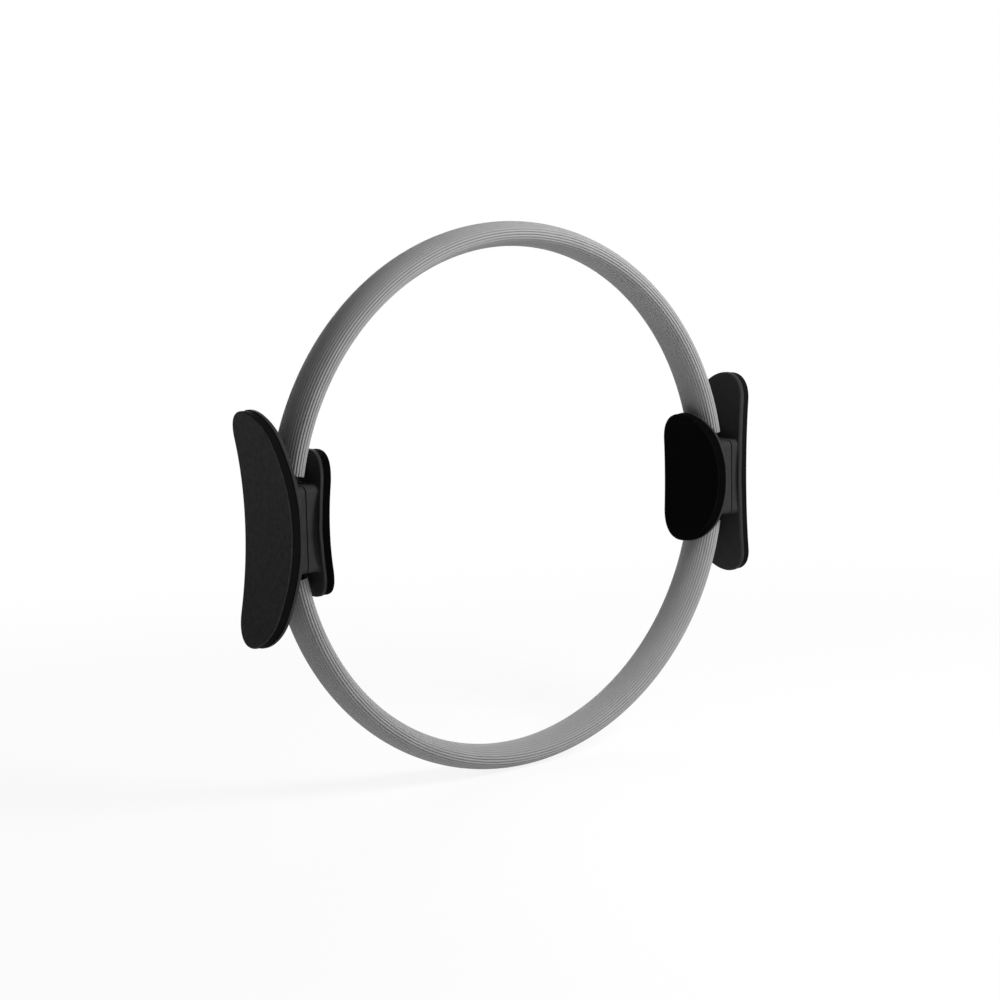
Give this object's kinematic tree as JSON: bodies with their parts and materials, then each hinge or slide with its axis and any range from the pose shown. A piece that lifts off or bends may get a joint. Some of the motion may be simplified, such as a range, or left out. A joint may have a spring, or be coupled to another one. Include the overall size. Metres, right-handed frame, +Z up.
{
  "type": "pilates ring",
  "caption": "Springy resistance hoop in a ribbed rubber sheath, with padded saddle handles on opposite sides that are squeezed together or pressed apart.",
  "frame": {"origin": "centre of the hoop, midway between the two handles", "axes": "+Y along the hoop's axis, +X from the left handle to the right handle, +Z up as the hoop stands in the picture"},
  "size_m": [0.3968, 0.0582, 0.36],
  "materials": {
    "sheath_rubber": "matte grey rubber with fine ribs along its length",
    "spring_strip": "black glass-fibre strip, smooth",
    "shell_plastic": "satin black moulded plastic",
    "outer_pad_foam": "fine-grained black foam with a dense face",
    "inner_pad_foam": "deep black foam",
    "bonding_film": "double-sided adhesive film",
    "screw_steel": "zinc-plated steel",
    "rivet_steel": "plain steel"
  },
  "bodies": {
    "ring": {"upper_sheath": "sheath_rubber", "lower_sheath": "sheath_rubber", "outer_band": "spring_strip", "inner_band": "spring_strip"},
    "left_handle": {"left_outer_shell": "shell_plastic", "left_inner_shell": "shell_plastic", "left_outer_pad": "outer_pad_foam", "left_inner_pad": "inner_pad_foam", "left_outer_pad_adhesive": "bonding_film", "left_inner_pad_adhesive": "bonding_film", "left_shell_screws": "screw_steel", "left_band_rivets": "rivet_steel"},
    "right_handle": {"right_outer_shell": "shell_plastic", "right_inner_shell": "shell_plastic", "right_outer_pad": "outer_pad_foam", "right_inner_pad": "inner_pad_foam", "right_outer_pad_adhesive": "bonding_film", "right_inner_pad_adhesive": "bonding_film", "right_shell_screws": "screw_steel", "right_band_rivets": "rivet_steel"}
  },
  "joints": [
    {"name": "left_squeeze", "type": "slide", "parent": "ring", "child": "left_handle", "axis": [1, 0, 0], "range_m": [-0.015, 0.045], "stiffness_N_per_m": 2000, "deforming": ["upper_sheath", "lower_sheath", "outer_band", "inner_band"]},
    {"name": "right_squeeze", "type": "slide", "parent": "ring", "child": "right_handle", "axis": [-1, 0, 0], "range_m": [-0.015, 0.045], "stiffness_N_per_m": 2000, "deforming": ["upper_sheath", "lower_sheath", "outer_band", "inner_band"]}
  ],
  "couplings": [
    {"joint": "right_squeeze", "follows": "left_squeeze", "ratio": 1}
  ]
}
